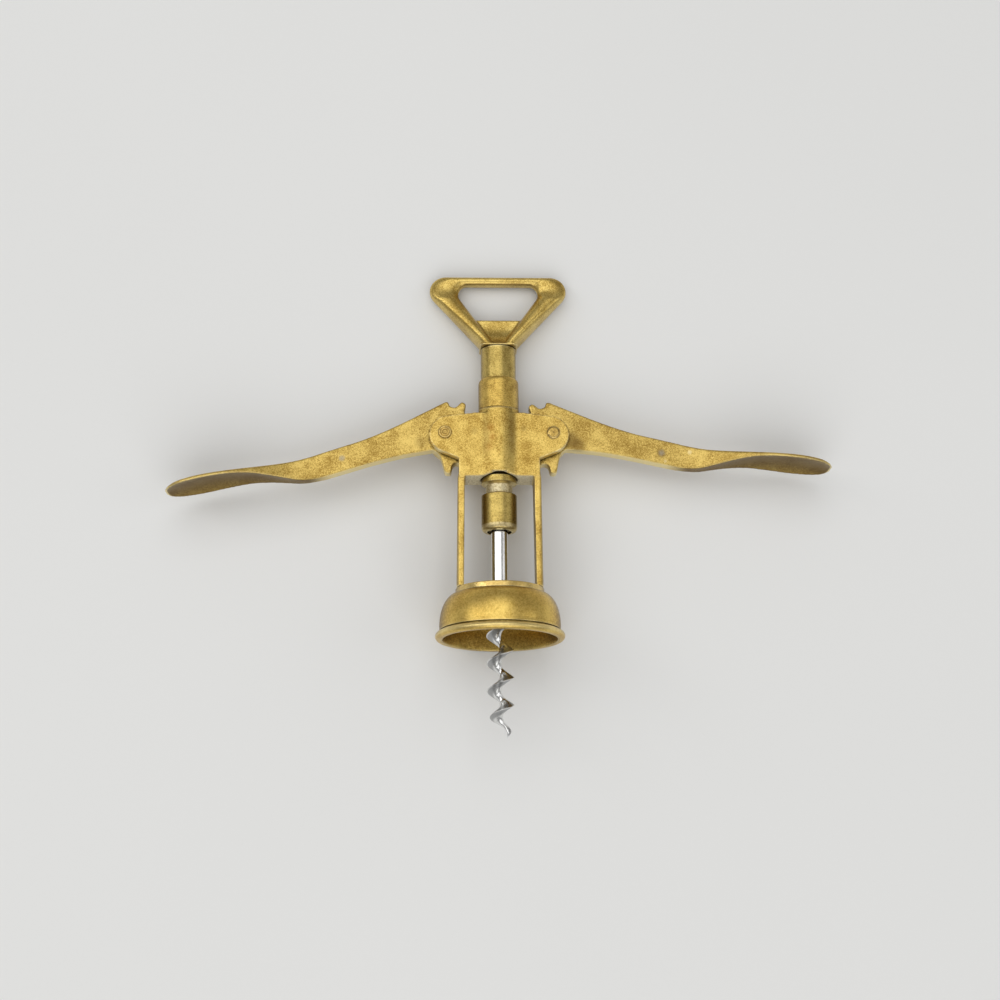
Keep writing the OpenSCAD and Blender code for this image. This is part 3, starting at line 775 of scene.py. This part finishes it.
leverSizes = {
    "thick": 4.6, "length": 97.4, "tip": 97.0, "headEnd": 20.0, "plateEnd": 44.0, "start": 5.0,
    "paddleHalf": 9.8, "crown": 1.9, "teeth": 6, "lowTeeth": 3, "toothTip": 13.6, "toothRoot": 10.6,
    "toothHalf": 6.2, "toothStep": 6.4 / 12.6, "leftDroop": 11.2, "rightDroop": 5.9,
    "voxel": 0.3, "rounds": 4, "keep": 0.4,
}
# Each station: place, upper edge, lower edge, then half width and crown as
# shares of the paddle's. A half width of 0 stands for the plate's own.
leverStations = np.array([
    (5, 9.7, -4.4, 0, 0), (16, 6.5, -4.3, 0, 0), (27, 3.95, -5, 0, 0), (37.5, 2.5, -6.15, 0, 0),
    (45, 1.5, -6.85, 0, 0), (51, 0.75, -6.5, 0, 0.05), (56, 0.4, -5.1, 0.37, 0.16),
    (62, 0.15, -3.3, 0.54, 0.37), (68.5, -0.05, -1.85, 0.75, 0.63), (76, -0.15, -1.3, 0.93, 0.9),
    (85, -0.25, -1.35, 1, 1), (92, -0.5, -1.55, 0.85, 0.74), (95.5, -0.85, -1.7, 0.55, 0.37),
    (97, -1.1, -1.45, 0.22, 0.1)])
topCorner = [(30.7, 1.63), (26.7, 1.3), (23.8, 1.5), (22.2, 2.03), (20.7, 2.77)]
heel = [(5.4, 0.55), (8.4, 2.66), (12.5, 4.54), (18.7, 6.01), (28.4, 6.94)]


def leverTable(s):
    # the plate is a little wider where the crown begins
    table = leverStations.copy()
    plate = table[:, 3] == 0
    table[:, 3] *= s["paddleHalf"]
    table[plate, 3] = s["thick"] / 2
    table[plate & (table[:, 4] > 0), 3] += 0.05 * s["paddleHalf"]
    table[:, 4] *= s["crown"]
    return table


def along(table, u):
    # all columns at u, by a smooth curve through the stations
    i = int(np.clip(np.searchsorted(table[:, 0], u, side="right") - 1, 0, len(table) - 2))
    p, q = table[i], table[i + 1]
    before, after = table[max(i - 1, 0)], table[min(i + 2, len(table) - 1)]
    w = q[0] - p[0]
    t = min(1.0, max(0.0, (u - p[0]) / w))
    startSlope = (q - before) / (q[0] - before[0]) * w
    endSlope = (after - p) / (after[0] - p[0]) * w
    places = (2 * t ** 3 - 3 * t ** 2 + 1) * p + (3 * t ** 2 - 2 * t ** 3) * q
    slopes = (t ** 3 - 2 * t ** 2 + t) * startSlope + (t ** 3 - t ** 2) * endSlope
    return places + slopes


def makeLever(name, side, droop, s):
    table = leverTable(s)
    step = math.degrees(s["toothStep"])
    level = -(s["leftDroop"] + s["rightDroop"]) / 2
    topTooth = level + (s["teeth"] - 1 - s["lowTeeth"]) * step
    lastTooth = level - s["lowTeeth"] * step

    def place(u):
        # the head keeps its size when the lever grows
        if u < s["headEnd"]:
            return u
        return s["headEnd"] + (u - s["headEnd"]) * (s["length"] - s["headEnd"]) / (s["tip"] - s["headEnd"])

    def inward(angle, r):
        return (-r * math.cos(math.radians(angle)), r * math.sin(math.radians(angle)))

    def toothRadius(off):
        return s["toothRoot"] + (s["toothTip"] - s["toothRoot"]) / (1 + (abs(off) / s["toothHalf"]) ** 5)

    def edgeLine(column, steps):
        return [(place(u), along(table, u)[column]) for u in np.linspace(s["start"], s["plateEnd"], steps)]

    teeth = []
    for a in np.linspace(topTooth + step / 2, lastTooth - s["toothHalf"] / 2, s["teeth"] * 28):
        nearest = round((a - topTooth) / step)
        teeth.append(inward(a, toothRadius(a - topTooth - nearest * step)))
    outline = edgeLine(1, 40)[::-1]
    outline += [inward(topTooth + a, s["toothTip"] - d) for a, d in topCorner]
    outline += teeth
    outline += [inward(lastTooth - a, s["toothTip"] - d) for a, d in heel]
    outline += edgeLine(2, 40)

    def paddleRing(u):
        _, top, low, wide, crown = along(table, u)
        edge = min(0.45, (top - low) * 0.35)
        spread = np.linspace(-(wide - edge), wide - edge, 15)
        rise = crown * (1 - (spread / wide) ** 2)
        x = place(u)
        upper = [(x, top + r, z) for z, r in zip(spread, rise)]
        lower = [(x, low + 0.9 * r, z) for z, r in zip(spread[::-1], rise[::-1])]
        near = edge * 0.3
        side = [(top - near, wide - near), (top - edge, wide), (low + edge, wide), (low + near, wide - near)]
        return upper + [(x, h, z) for h, z in side] + lower + [(x, h, -z) for h, z in side[::-1]]

    # closer rings at the rounded tip
    stations = np.concatenate([
        np.linspace(s["plateEnd"] - 1.5, s["tip"] - 3, 110), np.linspace(s["tip"] - 2.7, s["tip"], 10)])
    turn = math.radians(-droop)

    def hang(p):
        # turned about the pivot, on the lever's own side
        x, h, z = p
        return (
            side * (pivotApart + x * math.cos(turn) - h * math.sin(turn)),
            pivotHeight + x * math.sin(turn) + h * math.cos(turn), z)

    plate = slab(outline, -s["thick"] / 2, s["thick"] / 2)
    paddle = loft([paddleRing(u) for u in stations], False)
    shells = [([hang(p) for p in points], faces) for points, faces in (plate, paddle)]
    return castSkin(name, shells, brasses["cast lever"], s["voxel"], s["rounds"], s["keep"])


leftArm = makeLever("left_arm", -1, leverSizes["leftDroop"], leverSizes)
rightArm = makeLever("right_arm", 1, leverSizes["rightDroop"], leverSizes)
hand(leftArm, "left_lever", "cast_brass", "left_lever")
hand(rightArm, "right_lever", "cast_brass", "right_lever")


# Rack sleeve, grown by nodes.

rackSizes = {
    "Radius": 6.1, "Groove pitch": 6.4, "Groove depth": 1.5, "Groove half": 2.1, "Groove foot": 1.4,
    "Middle groove": 71.5, "Grooves below": 3.0, "Grooves above": 2.0, "Low end": 37.5, "Top end": 103.58,
    "End round": 1.3, "Recess radius": 4.2, "Recess depth": 2.2, "Bore": 2.96, "Socket radius": 3.96,
    "Socket low": 94.58, "Chamfer": 0.12,
}


def nodeTree(name, sizes):
    tree = bpy.data.node_groups.new(name, "GeometryNodeTree")
    tree.interface.new_socket("Geometry", in_out="INPUT", socket_type="NodeSocketGeometry")
    for label in sizes:
        tree.interface.new_socket(label, in_out="INPUT", socket_type="NodeSocketFloat")
    tree.interface.new_socket("Finish", in_out="INPUT", socket_type="NodeSocketMaterial")
    tree.interface.new_socket("Geometry", in_out="OUTPUT", socket_type="NodeSocketGeometry")
    board = Board(tree)
    start = board.add("NodeGroupInput")
    return tree, board, {label: start.other(label) for label in [*sizes, "Finish"]}


def tube(board, columns, rows, radiusAndHeight):
    # a grid rolled round the axis: radiusAndHeight gives (shift, radius, height,
    # further turn) from the share of its length and the turn
    grid = board.add("GeometryNodeMeshGrid", None, {
        "Size X": 1.0, "Size Y": 1.0, "Vertices X": columns + 1, "Vertices Y": rows + 1}, "Mesh")
    spot = board.add("GeometryNodeInputPosition")
    cut = board.add("ShaderNodeSeparateXYZ", None, {0: spot})
    turn = (cut + 0.5) * (2 * math.pi)
    share = cut.other("Y") + 0.5
    shift, radius, height, extra = radiusAndHeight(share, turn)
    angle = turn + extra
    rolled = board.add("ShaderNodeCombineXYZ", None, {
        0: radius * angle.maths("COSINE") + shift, 1: height, 2: radius * angle.maths("SINE") * -1})
    return board.add("GeometryNodeSetPosition", None, {"Geometry": grid, "Position": rolled})


def closeTree(board, parts, finish):
    joined = board.add("GeometryNodeJoinGeometry")
    for part in parts[::-1]:
        board.tree.links.new(part.socket, joined.socket.node.inputs[0])
    merged = board.add("GeometryNodeMergeByDistance", None, {"Geometry": joined, "Distance": 0.0005})
    whole = board.add("GeometryNodeRealizeInstances", None, {"Geometry": merged})
    shown = board.add("GeometryNodeSetMaterial", None, {"Geometry": whole, "Material": finish})
    board.add("NodeGroupOutput", None, {"Geometry": shown})


def grownByNodes(name, tree, sizes, material, sharp):
    host = bpy.data.objects.new(name + " host", bpy.data.meshes.new(name + " host"))
    bpy.context.scene.collection.objects.link(host)
    modifier = host.modifiers.new("grow", "NODES")
    modifier.node_group = tree
    for item in tree.interface.items_tree:
        if item.in_out == "INPUT" and item.name in sizes:
            modifier[item.identifier] = float(sizes[item.name])
        elif item.in_out == "INPUT" and item.name == "Finish":
            modifier[item.identifier] = material
    bpy.context.view_layer.update()
    mesh = bpy.data.meshes.new_from_object(host.evaluated_get(bpy.context.evaluated_depsgraph_get()))
    host.modifiers.clear()
    bpy.data.objects.remove(host)
    mesh.name = name
    mesh.transform(lay)
    return dressed(name, mesh, material, sharp)


def rackTree(sizes):
    tree, board, size = nodeTree("ring-grooved sleeve", sizes)
    rows = 420

    def outside(share, turn):
        height = size["Low end"] + (size["Top end"] - size["Low end"]) * share
        low = size["Middle groove"] - size["Groove pitch"] * size["Grooves below"]
        which = ((height - low) / size["Groove pitch"]).maths("ROUND").maths("MAXIMUM", 0.0)
        which = which.maths("MINIMUM", size["Grooves below"] + size["Grooves above"])
        away = abs(height - low - which * size["Groove pitch"])
        depth = (1 - away.step(size["Groove foot"], size["Groove half"] + 0.1)) * size["Groove depth"]
        up = ((height - size["Low end"]) / (size["End round"] * 1.3)).maths("MINIMUM", 1.0)
        roundIn = (1 - (1 - (1 - up) ** 2.0).maths("MAXIMUM", 0.0) ** 0.5) * size["End round"]
        chamfer = (height - size["Top end"] + size["Chamfer"]).maths("MAXIMUM", 0.0)
        radius = size["Radius"] - depth - roundIn - chamfer
        first, last = 1 - share.above(0.5 / rows), share.above(1 - 0.5 / rows)
        radius = radius * (1 - first) * (1 - last)
        radius = radius + first * size["Recess radius"] + last * size["Socket radius"]
        return 0.0, radius, height, 0.0

    def inside(share, turn):
        row = share * 5
        firstStep, secondStep = row.above(1.5), row.above(3.5)
        radius = size["Recess radius"] + (size["Bore"] - size["Recess radius"]) * firstStep
        radius = radius + (size["Socket radius"] - size["Bore"]) * secondStep
        height = size["Low end"] + size["Recess depth"] * row.above(0.5)
        height = height + (size["Socket low"] - size["Low end"] - size["Recess depth"]) * row.above(2.5)
        height = height + (size["Top end"] - size["Socket low"]) * row.above(4.5)
        return 0.0, radius, height, 0.0

    closeTree(board, [tube(board, 72, rows, outside), tube(board, 72, 5, inside)], size["Finish"])
    return tree


rack = grownByNodes("ringed_rack", rackTree(rackSizes), rackSizes, brasses["rack"], 40)
hand(rack, "rack", "turned_brass", "rack_sleeve")


# Worm, grown by nodes.

wormSizes = {
    "Shank radius": 2.9, "Shank top": 105.2, "Core radius": 1.35, "Core offset": 1.0,
    "Blade radius": 4.65, "Pitch": 9.3, "Point out": 32.7, "Point length": 9.0, "Point offset": 2.3,
    "Blade top": 12.0, "Blade full": 3.0, "Right edge": -3.1, "Blade foot": 78.0,
    "Flank power": 1.25, "Point power": 1.6,
}


def wormTree(sizes):
    tree, board, size = nodeTree("bladed worm", sizes)
    rows = 480

    def blade(share, turn):
        height = size["Shank top"] - (size["Shank top"] + size["Point out"]) * share
        off = (turn - math.pi) * (180 / math.pi)
        rise = 1 - (abs(off) / size["Blade foot"]).maths("MINIMUM", 1.0)
        # the core lies off the axis, towards the blade
        aim = turn - math.pi
        reach = size["Core radius"] ** 2.0 - (size["Core offset"] * aim.maths("SINE")) ** 2.0
        core = size["Core offset"] * aim.maths("COSINE") + reach.maths("MAXIMUM", 0.0) ** 0.5
        flank = size["Blade radius"] - size["Core radius"] - size["Core offset"]
        flight = core + flank * rise ** size["Flank power"]
        shank = height.step(size["Blade full"], size["Blade top"])
        radius = flight + (size["Shank radius"] - flight) * shank
        runOut = (size["Point length"] - size["Point out"] - height) / size["Point length"]
        runOut = runOut.maths("MAXIMUM", 0.0)
        thin = (1 - runOut.maths("MINIMUM", 1.0) ** size["Point power"]).maths("MAXIMUM", 0.0)
        ends = share.above(0.5 / rows)
        shift = size["Point offset"] * runOut.step(0.0, 1.0)
        winding = (height - size["Right edge"]) / size["Pitch"] * (2 * math.pi)
        return shift, radius * thin * ends, height, winding - math.pi

    closeTree(board, [tube(board, 40, rows, blade)], size["Finish"])
    return tree


worm = grownByNodes("screw_worm", wormTree(wormSizes), wormSizes, wormSteel, 40)
hand(worm, "spindle", "bright_steel", "worm")


# Handle.

handleSizes = {
    "base": 103.7, "high": 27.2, "half": 24.2, "corner": 5.3, "openHalf": 14.0, "openCorner": 3.4,
    "bar": 3.2, "barHalf": 3.3, "frontHalf": 2.3, "frontRound": 0.85, "backRound": 1.25,
    "rootHalf": 5.9, "rootStart": 9, "rootLong": 11, "forkHigh": 0.4, "fork": 0.7,
    "lipHigh": 10.8, "lipThick": 2.4, "lipRoot": 6.0, "lipSweep": 3.2,
    "plinth": 0.6, "plinthHalf": 6.6, "plinthDeep": 6.0, "hub": 6.3, "shoulder": 2.2,
    "stem": 3.9, "stemLong": 9.0, "fine": 5, "voxel": 0.28, "rounds": 4, "keep": 0.4,
}
# the block under the stirrup, as shares of its half width and depth
plinthCorners = [
    (1, 0.8), (0.85, 1), (-0.85, 1), (-1, 0.8), (-1, -0.8), (-0.85, -1), (0.85, -1), (1, -0.8)]


def stirrupLine(half, top, corner, foot, fine):
    middle = Vector((half - corner, top - corner))
    turn = touchAngle(foot, middle, corner)
    last = middle + corner * Vector((math.cos(math.radians(turn)), math.sin(math.radians(turn))))
    line = [Vector((middle.x * i / (5 * fine), top)) for i in range(5 * fine)]
    line += [Vector(p) for p in arc(middle, corner, corner, 90, turn, 8 * fine)]
    return line + [last.lerp(Vector(foot), i / (7 * fine)) for i in range(1, 7 * fine + 1)]


def makeHandle(s):
    fine, base, fork, top = s["fine"], s["base"], s["fork"], s["high"] - s["bar"]
    outer = stirrupLine(s["half"], s["high"], s["corner"], (s["hub"] - 0.1, s["forkHigh"]), fine)
    inner = stirrupLine(s["openHalf"], top, s["openCorner"], (fork, s["forkHigh"]), fine)
    count = len(outer)

    def ring(side, i):
        middle, half = (outer[i] + inner[i]) / 2, (outer[i] - inner[i]) / 2
        root = smooth((i / fine - s["rootStart"]) / s["rootLong"])
        section = []
        for turn in np.linspace(0, 2 * math.pi, 48, endpoint=False):
            # rounder and lower in front than behind
            ahead = math.sin(turn) > 0
            power = s["frontRound"] if ahead else s["backRound"]
            deep = s["frontHalf"] if ahead else s["barHalf"]
            wide = math.copysign(abs(math.cos(turn)) ** power, math.cos(turn))
            high = math.sin(turn)
            section.append((
                side * (middle.x + half.x * wide), base + middle.y + half.y * wide,
                high * (deep + (s["rootHalf"] - deep) * root)))
        return section

    halves = [ring(1, i) for i in range(count)] + [ring(-1, i) for i in range(count - 1, 0, -1)]
    bar = loft(halves, True)
    share = (s["lipHigh"] - s["plinth"] / 2) / (s["lipHigh"] * 1.75 - s["plinth"] / 2)
    reach = fork + (s["openHalf"] - fork) * share
    # the lip swells towards its root
    lipRings = []
    for t in np.linspace(0, 1, 16):
        half = fork + (reach - fork) * t
        deep = s["lipThick"] / 2 + (s["lipRoot"] - s["lipThick"] / 2) * (1 - t) ** s["lipSweep"]
        h = base + s["forkHigh"] + (s["lipHigh"] - s["forkHigh"]) * t
        lipRings.append([(half, h, -deep), (half, h, deep), (-half, h, deep), (-half, h, -deep)])
    lip = loft(lipRings, False)
    # a block with straight sides over the round neck
    plinth = loft([
        [(x * s["plinthHalf"], base + h, z * s["plinthDeep"]) for x, z in plinthCorners]
        for h in (0, s["plinth"])], False)
    hub, hubTop = s["hub"], base + s["plinth"]
    neckLine = [
        (0.01, base), (hub * 0.9, base), (hub * 0.9, hubTop),
        (hub * 0.5, hubTop + s["shoulder"]), (0.01, hubTop + s["shoulder"])]
    low = base - s["stemLong"]
    stemLine = [(0.01, low), (s["stem"], low), (s["stem"], base + 1), (0.01, base + 1)]
    shells = [bar, lip, plinth, lathe(neckLine, 72), lathe(stemLine, 48)]
    return castSkin("cap_lifter_handle", shells, brasses["handle"], s["voxel"], s["rounds"], s["keep"])


hand(makeHandle(handleSizes), "spindle", "cast_brass", "handle")

# The washer and the cross pin keep their solids.
for node, material in (("shank_washer", brasses["washer"]), ("handle_pin", pinSteel)):
    mesh = frame["nodes"][node].data
    mesh.materials.clear()
    mesh.materials.append(material)
print("pieces made")


# Floor and light.

studio = {
    "floor": tone(238, 238, 236),
    "floorHalf": 2,
    "floorRough": 0.85,
    "world": (1.0, 1.0, 1.0, 1.0),
    "worldStrength": 0.34,
    # name: place, width, length, brightness, aimed at
    "boxes": {
        "overhead": ((-0.12, 0.62, 1.35), 1.3, 1.3, 1.15),
        "left strip": ((-1.0, 0.4, 0.95), 0.45, 0.9, 2.2),
        "right fill": ((1.1, 0.1, 0.8), 0.7, 0.7, 0.8),
        "front": ((0.05, -0.85, 0.95), 1.6, 1.2, 1.05),
    },
}


def makeStudio(look):
    mesh = bpy.data.meshes.new("floor")
    half = look["floorHalf"]
    corners = [(-half, -half, 0), (half, -half, 0), (half, half, 0), (-half, half, 0)]
    mesh.from_pydata(corners, [], [(0, 1, 2, 3)])
    material, board = newMaterial("floor")
    spot = board.add("ShaderNodeTexCoord", out="Object")
    cloud = board.noise(spot, 0.3, 3.0, 0.5)
    colour = board.mix(cloud, look["floor"], tuple(c * 0.95 for c in look["floor"][:3]) + (1.0,))
    weave = board.noise(spot, 0.0015)
    bump = board.add("ShaderNodeBump", None, {"Strength": 0.1, "Distance": 0.0002, "Height": weave})
    finishMaterial(board, colour, look["floorRough"], bump, 0.0)
    mesh.materials.append(material)
    floor = bpy.data.objects.new("floor", mesh)
    bpy.context.scene.collection.objects.link(floor)
    world = bpy.data.worlds.new("studio")
    bpy.context.scene.world = world
    world.use_nodes = True
    world.node_tree.nodes.clear()
    board = Board(world.node_tree)
    sky = board.add("ShaderNodeBackground", None, {"Color": look["world"], "Strength": look["worldStrength"]})
    board.add("ShaderNodeOutputWorld", None, {"Surface": sky})
    for name, (place, width, length, brightness) in look["boxes"].items():
        lamp = bpy.data.lights.new(name, "AREA")
        lamp.shape, lamp.size, lamp.size_y = "RECTANGLE", width, length
        lamp.energy = brightness * math.pi * width * length
        box = bpy.data.objects.new(name, lamp)
        bpy.context.scene.collection.objects.link(box)
        box.location = place
        box.rotation_mode = "QUATERNION"
        box.rotation_quaternion = (Vector((0, 0, 0.01)) - Vector(place)).to_track_quat("-Z", "Y")
        box.visible_camera = False


makeStudio(studio)
bpy.context.scene.view_settings.view_transform = "Standard"
print("studio made")

bpy.context.view_layer.update()
